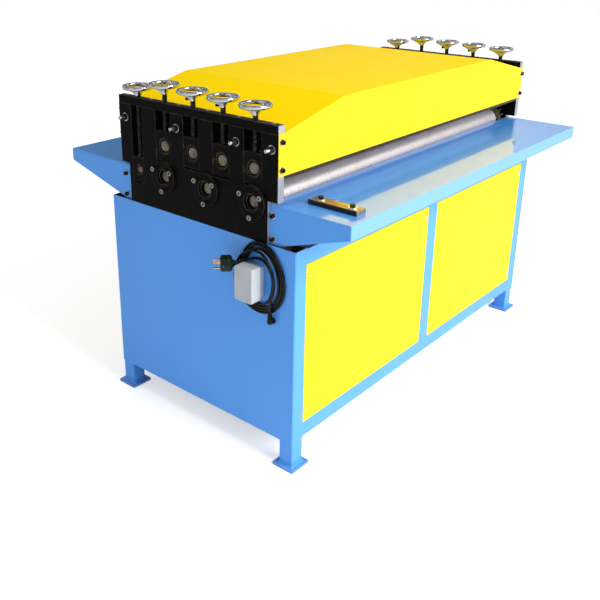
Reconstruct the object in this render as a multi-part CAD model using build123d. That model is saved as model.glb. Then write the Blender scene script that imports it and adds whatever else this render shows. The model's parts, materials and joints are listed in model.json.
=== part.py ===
"""Leveling and beading machine: a sheet-metal roller machine on a welded tube base.

Millimetres, +Z up, +X along the rollers, the feed table towards -Y.
The shapes are drawn about the middle of the base and moved on export, so
that the origin is under the middle of the machine's box, on the floor.
"""

import math
import os

from build123d import *

# Tube base
base_length = 1500.0
base_depth = 772.0
base_height = 706.0
leg_tube = 50.0
tube_wall = 3.0
tube_corner = 4.0
foot_size = 80.0
foot_thickness = 8.0
rail_floor_gap = 93.0
mid_post_width = 56.0

# Sheet covers of the base
end_sheet = 2.0
end_panel_floor_gap = 88.0
cover_sheet = 2.0
cover_return = 18.0
cover_gap = 0.5
cover_setback = 1.0

# Side plates and the bars that close their slots
plate_thickness = 25.0
plate_front_margin = 56.0
plate_rear_margin = 42.0
plate_step_depth = 35.5
plate_step_rise = 15.0
slot_roof_rise = 108.0
top_bar_height = 25.0

# Rollers
roller_pitch = 120.0
upper_count = 4
front_roller_y = -230.0
lower_axis_rise = 111.0
nip_centres = 96.0
roller_diameter = 86.0
exit_roller_diameter = 50.0
roller_end_gap = 8.0
gear_space = 60.0
roller_chamfer = 2.0
journal_diameter = 40.0
exit_journal_diameter = 26.0
stub_diameter = 34.0
exit_stub_diameter = 20.0
journal_seat = 8.0
stub_recess = 8.0
running_clearance = 0.05

# Gears of the two nip pairs
gear_teeth = 16
gear_width = 40.0
gear_plate_gap = 12.0
gear_hub_diameter = 62.0
gear_hub_length = 4.0
tooth_root_share = 0.66
tooth_tip_share = 0.22
tooth_height_share = 1.0
tooth_clearance_share = 1.25
lift_down = 4.0

# Bearing blocks and bearing flanges
slot_width = 64.0
exit_slot_width = 48.0
slot_corner = 3.0
block_height = 90.0
exit_block_height = 80.0
block_side_clearance = 0.15
block_face_inset = 1.0
block_floor_gap = 7.0
counterbore_diameter = 52.0
exit_counterbore_diameter = 36.0
flange_diameter = 100.0
flange_thickness = 8.0
flange_edge = 1.5

# Hand wheels on their adjusting spindles
wheel_diameter = 95.0
wheel_rim_thickness = 13.0
wheel_hub_diameter = 26.0
wheel_hub_height = 22.0
wheel_hub_drop = 16.0
wheel_spokes = 3
wheel_spoke_diameter = 9.0
wheel_rise = 46.0
wheel_rise_shares = (0.89, 0.98, 1.02, 1.11, 0.66)
spindle_diameter = 16.0
spindle_clearance = 0.3
spindle_seat_depth = 12.0

# Lock studs on the outer faces of the side plates
stud_diameter = 12.0
stud_length = 27.0
stud_drop = 42.0
nut_width = 19.0
nut_height = 10.0
nut_gap = 3.0
stud_front_inset = 22.0
stud_rear_inset = 29.0

# Hood
hood_sheet = 2.0
hood_foot_drop = 7.0
hood_shoulder_rise = 3.0
hood_rise = 61.0
hood_top_length = 920.0
hood_gap = 0.5

# Feed and exit tables
table_length = 1480.0
table_rise = 6.0
table_sheet = 3.0
table_lip = 42.0
table_inner_lip = 14.0
front_table_reach = 557.0
rear_table_reach = 607.0
cheek_thickness = 5.0
cheek_heel = 38.0
cheek_clearance = 0.5
table_hole_diameter = 9.0
table_hole_x = 419.0
table_hole_inset = 94.0

# Guide bar on the feed table
guide_width = 42.0
guide_length = 161.0
guide_thickness = 14.0
guide_end_inset = 68.0
guide_front_inset = 32.0
guide_chamfer = 2.0
guide_hole_diameter = 11.0
guide_hole_inset = 28.0

# Switch box on the left end
box_front_inset = 139.0
box_middle_height = 590.0
box_width = 68.0
box_height = 105.0
box_lid_depth = 37.0
box_base_depth = 23.0
box_base_inset = 6.0
box_corner = 5.0

# Mains lead on the left end
cord_diameter = 8.0
gland_front_offset = 62.0
gland_drop = 112.0
gland_boss_diameter = 22.0
gland_boss_length = 18.0
gland_neck_diameter = 17.0
gland_tip_diameter = 11.0
gland_neck_length = 30.0
gland_axis_offset = 14.0
coil_front_offset = 28.0
coil_rise = 19.0
coil_width = 176.0
coil_height = 208.0
coil_panel_gap = 2.0
coil_thickness = 19.0
coil_box_gap = 1.0
plug_rise = 44.0
plug_rear_offset = 50.5
plug_standoff = 29.0
plug_turn = 45.0
plug_diameter = 52.0
plug_boot_diameter = 20.0
plug_boot_length = 12.0
plug_boot_back = 14.0
plug_body_length = 34.0
pin_length = 22.0
pin_width = 7.0
pin_thickness = 2.5
pin_circle_diameter = 28.0
pin_count = 3

cut_overrun = 1.0

# Worked out from the sizes above
half_length = base_length / 2
half_depth = base_depth / 2
plate_inner = half_length - plate_thickness
plate_middle = half_length - plate_thickness / 2
leg_x = half_length - end_sheet - leg_tube / 2
leg_y = half_depth - leg_tube / 2
lower_axis_height = base_height + lower_axis_rise
upper_axis_height = lower_axis_height + nip_centres
plate_step_height = lower_axis_height + plate_step_rise
slot_roof_height = upper_axis_height + slot_roof_rise
stud_height = slot_roof_height - stud_drop
hood_foot_height = upper_axis_height - hood_foot_drop
hood_shoulder_height = slot_roof_height + hood_shoulder_rise
hood_top_height = hood_shoulder_height + hood_rise
table_height = lower_axis_height + table_rise
roller_left_end = -plate_inner + roller_end_gap
roller_right_end = plate_inner - gear_space
roller_places = [front_roller_y + index * roller_pitch for index in range(upper_count)]
exit_roller_y = front_roller_y + upper_count * roller_pitch
upper_places = roller_places + [exit_roller_y]
plate_lower_front = front_roller_y - plate_front_margin
plate_lower_rear = exit_roller_y + plate_rear_margin
plate_front = plate_lower_front - plate_step_depth
plate_rear = plate_lower_rear + plate_step_depth
lower_places = [roller_places[0], (roller_places[0] + roller_places[-1]) / 2, roller_places[-1]]
gear_pitch_radius = (nip_centres - lift_down) / 2
gear_module = 2 * gear_pitch_radius / gear_teeth
stub_end = half_length - stub_recess
box_middle_y = -half_depth + box_front_inset
gland_y = box_middle_y - gland_front_offset
gland_height = box_middle_height - gland_drop
coil_middle_y = box_middle_y - coil_front_offset
coil_middle_height = box_middle_height + coil_rise
plug_middle_height = box_middle_height + plug_rise
plug_start_y = box_middle_y + plug_rear_offset
box_face = half_length + box_base_depth + box_lid_depth
stud_face = half_length + stud_length
right_reach = max(stud_face, plate_middle + wheel_diameter / 2)
left_reach = max(box_face, right_reach)
shift_x = (left_reach - right_reach) / 2
shift_y = (front_table_reach - rear_table_reach) / 2
SIDES = {"left": -1, "right": 1}


def block(x_span, y_span, z_span):
    """A box between two values on each axis."""
    sizes = [span[1] - span[0] for span in (x_span, y_span, z_span)]
    middles = [(span[0] + span[1]) / 2 for span in (x_span, y_span, z_span)]
    return Pos(*middles) * Box(*sizes)


def rod_x(diameter, x_span, y, z):
    """A round bar along X."""
    length = abs(x_span[1] - x_span[0])
    return Pos((x_span[0] + x_span[1]) / 2, y, z) * Rot(0, 90, 0) * Cylinder(diameter / 2, length)


def rod_z(diameter, x, y, z_span):
    """A round bar along Z."""
    length = z_span[1] - z_span[0]
    return Pos(x, y, (z_span[0] + z_span[1]) / 2) * Cylinder(diameter / 2, length)


def tube(width, depth, length):
    """A hollow section along Z, with rounded outer corners."""
    outer = RectangleRounded(width, depth, tube_corner)
    inner = Rectangle(width - 2 * tube_wall, depth - 2 * tube_wall)
    return extrude(outer - inner, length)


def plate_yz(points, x_span):
    """An outline in the YZ plane given thickness along X."""
    wire = Polyline(*[(0, y, z) for y, z in points], close=True)
    face = make_face(wire)
    return Pos(x_span[0], 0, 0) * extrude(face, x_span[1] - x_span[0], dir=(1, 0, 0))


def plate_xz(points, y_span):
    """An outline in the XZ plane given thickness along Y."""
    wire = Polyline(*[(x, 0, z) for x, z in points], close=True)
    face = make_face(wire)
    return Pos(0, y_span[0], 0) * extrude(face, y_span[1] - y_span[0], dir=(0, 1, 0))


def save(name, *shapes):
    """Write one node, moved so that the origin is under the machine's middle."""
    solids = [solid for shape in shapes for solid in shape.solids()]
    placed = [Pos(shift_x, shift_y, 0) * solid for solid in solids]
    whole = placed[0] if len(placed) == 1 else Compound(children=placed)
    export_step(whole, f"parts/{name}.step")


def base_frame():
    """Legs on foot plates, rails between them, and a post in the middle of each long side."""
    corners = [(sx * leg_x, sy * leg_y) for sx in (-1, 1) for sy in (-1, 1)]
    leg = tube(leg_tube, leg_tube, base_height - foot_thickness)
    save("legs", *[Pos(x, y, foot_thickness) * leg for x, y in corners])
    foot = extrude(RectangleRounded(foot_size, foot_size, tube_corner), foot_thickness)
    save("foot_plates", *[Pos(x, y, 0) * foot for x, y in corners])
    long_span = 2 * leg_x - leg_tube
    cross_span = 2 * leg_y - leg_tube
    long_rail = Rot(0, 90, 0) * Pos(0, 0, -long_span / 2) * tube(leg_tube, leg_tube, long_span)
    cross_rail = Rot(90, 0, 0) * Pos(0, 0, -cross_span / 2) * tube(leg_tube, leg_tube, cross_span)
    heights = {"top_rails": base_height - leg_tube / 2, "bottom_rails": rail_floor_gap + leg_tube / 2}
    for name, z in heights.items():
        long_rails = [Pos(0, side * leg_y, z) * long_rail for side in (-1, 1)]
        cross_rails = [Pos(side * leg_x, 0, z) * cross_rail for side in (-1, 1)]
        save(name, *long_rails, *cross_rails)
    post_foot = rail_floor_gap + leg_tube
    post = tube(mid_post_width, leg_tube, base_height - leg_tube - post_foot)
    save("mid_posts", *[Pos(0, side * leg_y, post_foot) * post for side in (-1, 1)])


def base_covers():
    """Flush end sheets, and pans screwed into the openings of the long sides."""
    for name, side in SIDES.items():
        outer = side * half_length
        sheet = block(sorted((outer, outer - side * end_sheet)), (-half_depth, half_depth),
                      (end_panel_floor_gap, base_height))
        save(f"{name}_end_panel", sheet)
    opening_floor = rail_floor_gap + leg_tube + cover_gap
    opening_roof = base_height - leg_tube - cover_gap
    inner_edge = mid_post_width / 2 + cover_gap
    outer_edge = leg_x - leg_tube / 2 - cover_gap
    face = half_depth - cover_setback
    for row, facing in {"front": -1, "rear": 1}.items():
        for name, side in SIDES.items():
            x_span = sorted((side * inner_edge, side * outer_edge))
            y_span = sorted((facing * face, facing * (face - cover_return)))
            pan = block(x_span, y_span, (opening_floor, opening_roof))
            hollow_x = (x_span[0] + cover_sheet, x_span[1] - cover_sheet)
            hollow_y = sorted((facing * (face - cover_sheet), facing * (face - cover_return - cut_overrun)))
            hollow_z = (opening_floor + cover_sheet, opening_roof - cover_sheet)
            save(f"{row}_panel_{name}", pan - block(hollow_x, hollow_y, hollow_z))


def slot_sizes(index):
    """Width, block height, axis height, bore and counterbore of one adjustable roller's bearing."""
    if index < upper_count:
        return slot_width, block_height, upper_axis_height, journal_diameter, counterbore_diameter
    return (exit_slot_width, exit_block_height, lower_axis_height, exit_journal_diameter,
            exit_counterbore_diameter)


def side_plates():
    """Slotted plates that stand on the base, with a bar on top that closes the slots."""
    outline = [
        (plate_lower_front, base_height), (plate_lower_rear, base_height),
        (plate_lower_rear, plate_step_height), (plate_rear, plate_step_height),
        (plate_rear, slot_roof_height), (plate_front, slot_roof_height),
        (plate_front, plate_step_height), (plate_lower_front, plate_step_height),
    ]
    for name, side in SIDES.items():
        x_span = sorted((side * plate_inner, side * half_length))
        cut_span = (x_span[0] - cut_overrun, x_span[1] + cut_overrun)
        plate = plate_yz(outline, x_span)
        for index, y in enumerate(upper_places):
            width, height, axis, _, _ = slot_sizes(index)
            floor = axis - height / 2 - block_floor_gap
            slot = block(cut_span, (y - width / 2, y + width / 2), (floor, slot_roof_height + cut_overrun))
            plate -= fillet(slot.edges().filter_by(Axis.X).group_by(Axis.Z)[0], slot_corner)
        for y in lower_places:
            seat = side * (plate_inner + journal_seat)
            plate -= rod_x(journal_diameter + 2 * running_clearance, cut_span, y, lower_axis_height)
            mouth = (seat, side * (half_length + cut_overrun))
            plate -= rod_x(counterbore_diameter, mouth, y, lower_axis_height)
        save(f"side_plate_{name}", plate)
        bar = block(x_span, (plate_front, plate_rear), (slot_roof_height, slot_roof_height + top_bar_height))
        for y in upper_places:
            hole = spindle_diameter + 2 * spindle_clearance
            drill = (slot_roof_height - cut_overrun, slot_roof_height + top_bar_height + cut_overrun)
            bar -= rod_z(hole, side * plate_middle, y, drill)
        save(f"top_bar_{name}", bar)


def bearings():
    """Sliding blocks of the upper rollers and bolted flanges of the lower ones."""
    for index, y in enumerate(upper_places):
        width, height, axis, bore, mouth = slot_sizes(index)
        half_width = width / 2 - block_side_clearance
        pair = []
        for side in SIDES.values():
            inner = side * (plate_inner + block_face_inset)
            outer = side * (half_length - block_face_inset)
            body = block(sorted((inner, outer)), (y - half_width, y + half_width),
                         (axis - height / 2, axis + height / 2))
            seat = side * (plate_inner + journal_seat)
            body -= rod_x(bore + 2 * running_clearance, (inner - side * cut_overrun, outer), y, axis)
            body -= rod_x(mouth, (seat, outer + side * cut_overrun), y, axis)
            top = axis + height / 2
            socket = spindle_diameter + 2 * spindle_clearance
            body -= rod_z(socket, side * plate_middle, y, (top - spindle_seat_depth, top + cut_overrun))
            pair.append(body)
        save(f"bearing_blocks_{index + 1}", *pair)
    rings = []
    for side in SIDES.values():
        for y in lower_places:
            ring = rod_x(flange_diameter, (side * half_length, side * (half_length + flange_thickness)),
                         y, lower_axis_height)
            rim = ring.edges().filter_by(GeomType.CIRCLE).sort_by(Axis.X)
            ring = chamfer(rim[0] if side < 0 else rim[-1], flange_edge)
            face = half_length + flange_thickness
            through = (side * (half_length - cut_overrun), side * (face + cut_overrun))
            rings.append(ring - rod_x(counterbore_diameter, through, y, lower_axis_height))
    save("bearing_flanges", *rings)


def roller(diameter, journal, stub, y, z):
    """A turned roller with its journals and the stubs that show in the bearings."""
    steps = [
        (-stub_end, stub), (-plate_inner - journal_seat, journal),
        (roller_left_end, diameter), (roller_right_end, journal),
        (plate_inner + journal_seat, stub),
    ]
    ends = [start for start, _ in steps[1:]] + [stub_end]
    profile = [(-stub_end, 0)]
    for (start, size), end in zip(steps, ends):
        profile += [(start, size / 2), (end, size / 2)]
    profile.append((stub_end, 0))
    half = make_face(Polyline(*[(x, 0, radius) for x, radius in profile], close=True))
    body = revolve(half, Axis.X, 360)
    circles = body.edges().filter_by(GeomType.CIRCLE)
    rims = circles.group_by(SortBy.RADIUS)[-1]
    return Pos(0, y, z) * chamfer(rims, roller_chamfer)


def gear(y, z, half_step):
    """A spur gear on the right end of a nip roller, turned by half a tooth where it meets its pair."""
    root = gear_pitch_radius - tooth_clearance_share * gear_module
    tip = gear_pitch_radius + tooth_height_share * gear_module
    step = 2 * math.pi / gear_teeth
    right = plate_inner - gear_plate_gap
    left = right - gear_width

    def at(radius, angle):
        """A point of the tooth outline, in the plane across the axis."""
        return (left, radius * math.sin(angle), radius * math.cos(angle))

    points = []
    for tooth in range(gear_teeth):
        middle = (tooth + half_step / 2) * step
        points += [
            at(root, middle - tooth_root_share * step / 2), at(tip, middle - tooth_tip_share * step / 2),
            at(tip, middle + tooth_tip_share * step / 2), at(root, middle + tooth_root_share * step / 2),
        ]
    wheel = extrude(make_face(Polyline(*points, close=True)), gear_width, dir=(1, 0, 0))
    wheel += rod_x(gear_hub_diameter, (left - gear_hub_length, left), 0, 0)
    bore = journal_diameter + 2 * running_clearance
    wheel -= rod_x(bore, (left - gear_hub_length - cut_overrun, right + cut_overrun), 0, 0)
    return Pos(0, y, z) * wheel


def rollers():
    """Three fixed lower rollers, four upper ones, the exit roller, and the gears of the nip pairs."""
    for name, y in zip(("front", "middle", "rear"), lower_places):
        shape = roller(roller_diameter, journal_diameter, stub_diameter, y, lower_axis_height)
        save(f"lower_roller_{name}", shape)
    for index, y in enumerate(roller_places):
        shape = roller(roller_diameter, journal_diameter, stub_diameter, y, upper_axis_height)
        save(f"upper_roller_{index + 1}", shape)
    exit_shape = roller(exit_roller_diameter, exit_journal_diameter, exit_stub_diameter,
                        exit_roller_y, lower_axis_height)
    save("exit_roller", exit_shape)
    for name, y in {"front": roller_places[0], "rear": roller_places[-1]}.items():
        save(f"lower_gear_{name}", gear(y, lower_axis_height, 0))
        save(f"upper_gear_{name}", gear(y, upper_axis_height, 1))


def hand_wheels():
    """Dished three-spoke wheels, each on the spindle that sets one end of a roller."""
    rim_radius = (wheel_diameter - wheel_rim_thickness) / 2
    rim = Torus(rim_radius, wheel_rim_thickness / 2)
    hub_span = (-wheel_hub_drop - wheel_hub_height / 2, -wheel_hub_drop + wheel_hub_height / 2)
    hub = rod_z(wheel_hub_diameter, 0, 0, hub_span)
    reach = math.hypot(rim_radius, wheel_hub_drop)
    slope = math.degrees(math.atan2(wheel_hub_drop, rim_radius))
    bar = Pos(0, 0, reach / 2) * Cylinder(wheel_spoke_diameter / 2, reach)
    spoke = Pos(0, 0, -wheel_hub_drop) * Rot(0, 90 - slope, 0) * bar
    wheel = rim + hub
    for turn in range(wheel_spokes):
        wheel += Rot(0, 0, (turn + 1 / 2) * 360 / wheel_spokes) * spoke
    for name, side in SIDES.items():
        for index, y in enumerate(upper_places):
            _, height, axis, _, _ = slot_sizes(index)
            rise = slot_roof_height + top_bar_height + wheel_rise * wheel_rise_shares[index]
            foot = axis + height / 2 - spindle_seat_depth + spindle_clearance
            spindle = rod_z(spindle_diameter, 0, 0, (foot - rise, -wheel_hub_drop))
            save(f"handwheel_{name}_{index + 1}", Pos(side * plate_middle, y, rise) * (wheel + spindle))


def lock_studs():
    """Studs with nuts that stand out of the plates beside the slots."""
    gap_middles = [
        plate_front + stud_front_inset,
        roller_places[0] + roller_pitch / 2,
        roller_places[-1] - roller_pitch / 2,
        plate_rear - stud_rear_inset,
    ]
    studs = []
    for side in SIDES.values():
        for y in gap_middles:
            stud = rod_x(stud_diameter, (side * half_length, side * stud_face), y, stud_height)
            nut = extrude(RegularPolygon(nut_width / 2, 6, major_radius=False), nut_height)
            start = side * (half_length + nut_gap + nut_height / 2)
            stud += Pos(start, y, stud_height) * Rot(0, 90, 0) * Pos(0, 0, -nut_height / 2) * nut
            studs.append(stud)
    save("lock_studs", *studs)


def hood():
    """Front and rear sheets with clipped corners, and the bent roof between them."""
    half_top = hood_top_length / 2
    outline = [
        (-half_length, hood_foot_height), (half_length, hood_foot_height),
        (half_length, hood_shoulder_height), (plate_inner, hood_shoulder_height),
        (half_top, hood_top_height), (-half_top, hood_top_height),
        (-plate_inner, hood_shoulder_height), (-half_length, hood_shoulder_height),
    ]
    save("hood_front", plate_xz(outline, (plate_front - hood_sheet, plate_front)))
    save("hood_rear", plate_xz(outline, (plate_rear, plate_rear + hood_sheet)))
    foot = plate_inner - hood_gap
    skin = [
        (-foot, hood_shoulder_height), (-half_top, hood_top_height),
        (half_top, hood_top_height), (foot, hood_shoulder_height),
    ]
    under = [(x, z - hood_sheet) for x, z in reversed(skin)]
    save("hood_roof", plate_xz(skin + under, (plate_front, plate_rear)))


def table(name, facing, inner, reach):
    """One bent table sheet with a lip, carried by a tapered cheek at each end."""
    half = table_length / 2
    outer = facing * reach
    under = table_height - table_sheet
    sheet = block((-half, half), sorted((inner, outer)), (under, table_height))
    lip_y = sorted((outer, outer - facing * table_sheet))
    sheet += block((-half, half), lip_y, (table_height - table_lip, table_height))
    inner_half = half - cheek_thickness - cheek_clearance
    inner_y = sorted((inner, inner + facing * table_sheet))
    sheet += block((-inner_half, inner_half), inner_y, (under - table_inner_lip, under))
    if facing < 0:
        drill = (under - cut_overrun, table_height + cut_overrun)
        sheet -= rod_z(table_hole_diameter, table_hole_x, outer + table_hole_inset, drill)
    save(f"{name}_table", sheet)
    nose = outer - facing * table_sheet
    heel = inner + facing * cheek_heel
    outline = [
        (inner, under), (inner, base_height), (heel, base_height),
        (nose, table_height - table_lip), (nose, under),
    ]
    spans = [(-half, -half + cheek_thickness), (half - cheek_thickness, half)]
    save(f"{name}_table_cheeks", *[plate_yz(outline, span) for span in spans])


def guide_bar():
    """A bar bolted across the feed table, which the sheet's edge runs along."""
    left = -table_length / 2 + guide_end_inset
    front = -front_table_reach + guide_front_inset
    bar = block((left, left + guide_width), (front, front + guide_length),
                (table_height, table_height + guide_thickness))
    bar = chamfer(bar.faces().sort_by(Axis.Z)[-1].edges(), guide_chamfer)
    for y in (front + guide_hole_inset, front + guide_length - guide_hole_inset):
        drill = (table_height - cut_overrun, table_height + guide_thickness + cut_overrun)
        bar -= rod_z(guide_hole_diameter, left + guide_width / 2, y, drill)
    save("table_guide", bar)


def switch_box():
    """A two-piece box on the left end sheet."""
    half_width = box_width / 2
    half_height = box_height / 2
    seam = half_length + box_base_depth
    base_half_width = half_width - box_base_inset
    base_half_height = half_height - box_base_inset
    base = block((-seam, -half_length), (box_middle_y - base_half_width, box_middle_y + base_half_width),
                 (box_middle_height - base_half_height, box_middle_height + base_half_height))
    save("switch_box", base)
    lid = block((-box_face, -seam), (box_middle_y - half_width, box_middle_y + half_width),
                (box_middle_height - half_height, box_middle_height + half_height))
    lid = fillet(lid.edges().filter_by(Axis.X), box_corner)
    lid = fillet(lid.faces().sort_by(Axis.X)[0].edges(), box_corner / 2)
    save("switch_box_lid", lid)


def mains_lead():
    """Gland, the short run of cord up to the coil, the coil round the box, and the plug."""
    axis_x = -half_length - gland_axis_offset
    boss_span = (-half_length - gland_boss_length, -half_length)
    boss = rod_x(gland_boss_diameter, boss_span, gland_y, gland_height)
    neck_top = gland_height + gland_neck_length
    neck = Pos(axis_x, gland_y, gland_height + gland_neck_length / 2) * Cone(
        gland_neck_diameter / 2, gland_tip_diameter / 2, gland_neck_length)
    save("cord_gland", boss + neck)
    across = (gland_y - coil_middle_y) / (coil_width / 2)
    coil_floor = coil_middle_height - coil_height / 2 * math.sqrt(1 - across * across)
    save("cord_lead", rod_z(cord_diameter, axis_x, gland_y, (neck_top, coil_floor + cord_diameter)))
    near = -half_length - coil_panel_gap
    ring = extrude(Ellipse(coil_width / 2, coil_height / 2), coil_thickness)
    trim = 2 * (box_base_inset - coil_box_gap)
    opening = extrude(Rectangle(box_width - trim, box_height - trim), coil_thickness)
    ring -= Pos(coil_front_offset, -coil_rise, 0) * opening
    corner = (near - coil_thickness, coil_middle_y, coil_middle_height)
    turned = Plane(origin=corner, x_dir=(0, 1, 0), z_dir=(1, 0, 0))
    save("cord_coil", turned * ring)
    plug_start = (-half_length - plug_standoff, plug_start_y, plug_middle_height)
    across, along = math.sin(math.radians(plug_turn)), math.cos(math.radians(plug_turn))
    plug_plane = Plane(origin=plug_start, x_dir=(along, across, 0), z_dir=(-across, along, 0))
    boot_middle = (plug_boot_length - plug_boot_back) / 2
    boot_height = plug_boot_length + plug_boot_back
    boot = Pos(0, 0, boot_middle) * Cone(cord_diameter, plug_boot_diameter / 2, boot_height)
    body_start = plug_boot_length
    body = Pos(0, 0, body_start) * extrude(RegularPolygon(plug_diameter / 2, 8), plug_body_length)
    save("plug", plug_plane * (boot + body))
    pin_start = body_start + plug_body_length
    pins = []
    for turn in range(pin_count):
        pin = extrude(Rectangle(pin_width, pin_thickness), pin_length)
        placed = Rot(0, 0, turn * 360 / pin_count) * Pos(0, pin_circle_diameter / 2, pin_start) * pin
        pins.append(plug_plane * placed)
    save("plug_pins", *pins)


os.makedirs("parts", exist_ok=True)
base_frame()
base_covers()
side_plates()
bearings()
rollers()
hand_wheels()
lock_studs()
hood()
table("front", -1, plate_lower_front, front_table_reach)
table("rear", 1, plate_lower_rear, rear_table_reach)
guide_bar()
switch_box()
mains_lead()
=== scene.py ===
"""Looks of a leveling and beading machine.

The frame brings the machine's solids in metres. This script gives each surface its finish, adds the
hand wheels, spindles, studs, screws, welds and mains lead, and sets the floor, the light and the
camera. Places are millimetres of the drawing, whose middle is the middle of the tube base.
"""

import json
import logging
import math
from collections.abc import Iterable
from dataclasses import dataclass
from enum import Enum

import bmesh
import bpy
from mathutils import Matrix, Vector

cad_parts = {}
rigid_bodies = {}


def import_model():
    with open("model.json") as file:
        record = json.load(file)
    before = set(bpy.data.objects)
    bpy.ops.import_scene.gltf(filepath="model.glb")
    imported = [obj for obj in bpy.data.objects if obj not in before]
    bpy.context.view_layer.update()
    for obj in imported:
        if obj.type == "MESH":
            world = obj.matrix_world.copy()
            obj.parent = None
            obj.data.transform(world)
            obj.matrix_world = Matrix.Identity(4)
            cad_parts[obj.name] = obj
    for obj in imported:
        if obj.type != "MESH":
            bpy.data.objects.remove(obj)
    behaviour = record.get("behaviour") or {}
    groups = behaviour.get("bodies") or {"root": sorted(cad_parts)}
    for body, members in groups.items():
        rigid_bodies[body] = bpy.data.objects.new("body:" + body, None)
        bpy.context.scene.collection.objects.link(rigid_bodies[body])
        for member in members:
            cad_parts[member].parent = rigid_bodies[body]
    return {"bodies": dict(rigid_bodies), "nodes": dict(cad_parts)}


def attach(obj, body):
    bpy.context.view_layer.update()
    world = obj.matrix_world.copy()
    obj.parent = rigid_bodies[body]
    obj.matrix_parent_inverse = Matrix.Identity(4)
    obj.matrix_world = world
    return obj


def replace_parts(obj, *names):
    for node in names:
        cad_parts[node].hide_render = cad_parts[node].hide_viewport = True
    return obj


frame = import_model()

LOG = logging.getLogger("leveling_machine")
MM = 0.001
BASE = "base"
DRAWING_SHIFT = Vector((12.5, -25.0, 0.0))

Colour = tuple[float, float, float]
Point = tuple[float, float, float]
Profile = list[tuple[float, float]]
Seat = tuple[Point, Point]
Socket = bpy.types.NodeSocket

UP = (0.0, 0.0, 1.0)
WHITE = (1.0, 1.0, 1.0)
PLATE_FACE = 750.0
PLATE_MIDDLE = 737.5
UPPER_PLACES = (-230.0, -110.0, 10.0, 130.0, 250.0)
LOWER_PLACES = (-230.0, -50.0, 130.0)
LOWER_ROWS = ("front", "middle", "rear")
LOWER_HEIGHT = 817.0


class Side(Enum):
    """The two ends of the machine, by the sign of X."""

    LEFT = -1
    RIGHT = 1

    @property
    def word(self) -> str:
        """The end's name as the frame's nodes spell it."""
        return self.name.lower()


class Facing(Enum):
    """The feed side and the exit side, by the sign of Y."""

    FEED = -1
    EXIT = 1


def feed(socket: Socket, value: object) -> None:
    """Link a socket into an input, or set its value.

    Args:
        socket: The input.
        value: A socket, a number or a colour.
    """
    if isinstance(value, Socket):
        socket.id_data.links.new(value, socket)
    elif isinstance(value, tuple) and socket.type == "RGBA":
        socket.default_value = (*value, 1.0)
    else:
        socket.default_value = value


def add_node(tree: bpy.types.NodeTree, kind: str, **inputs: object) -> bpy.types.Node:
    """Add a node and fill its inputs.

    Args:
        tree: The material's or world's nodes.
        kind: The node's type without its ShaderNode prefix.
        inputs: Values or sockets by input name, with _ for a space.

    Returns:
        The new node.
    """
    made = tree.nodes.new("ShaderNode" + kind)
    for name, value in inputs.items():
        feed(made.inputs[name.replace("_", " ")], value)
    return made


@dataclass(frozen=True)
class Grain:
    """A noise recipe: blotches per metre, octaves, the span of grey that counts, scale along each axis."""

    scale: float
    detail: float
    span: tuple[float, float] = (0.0, 1.0)
    stretch: Point = (1.0, 1.0, 1.0)


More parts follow.
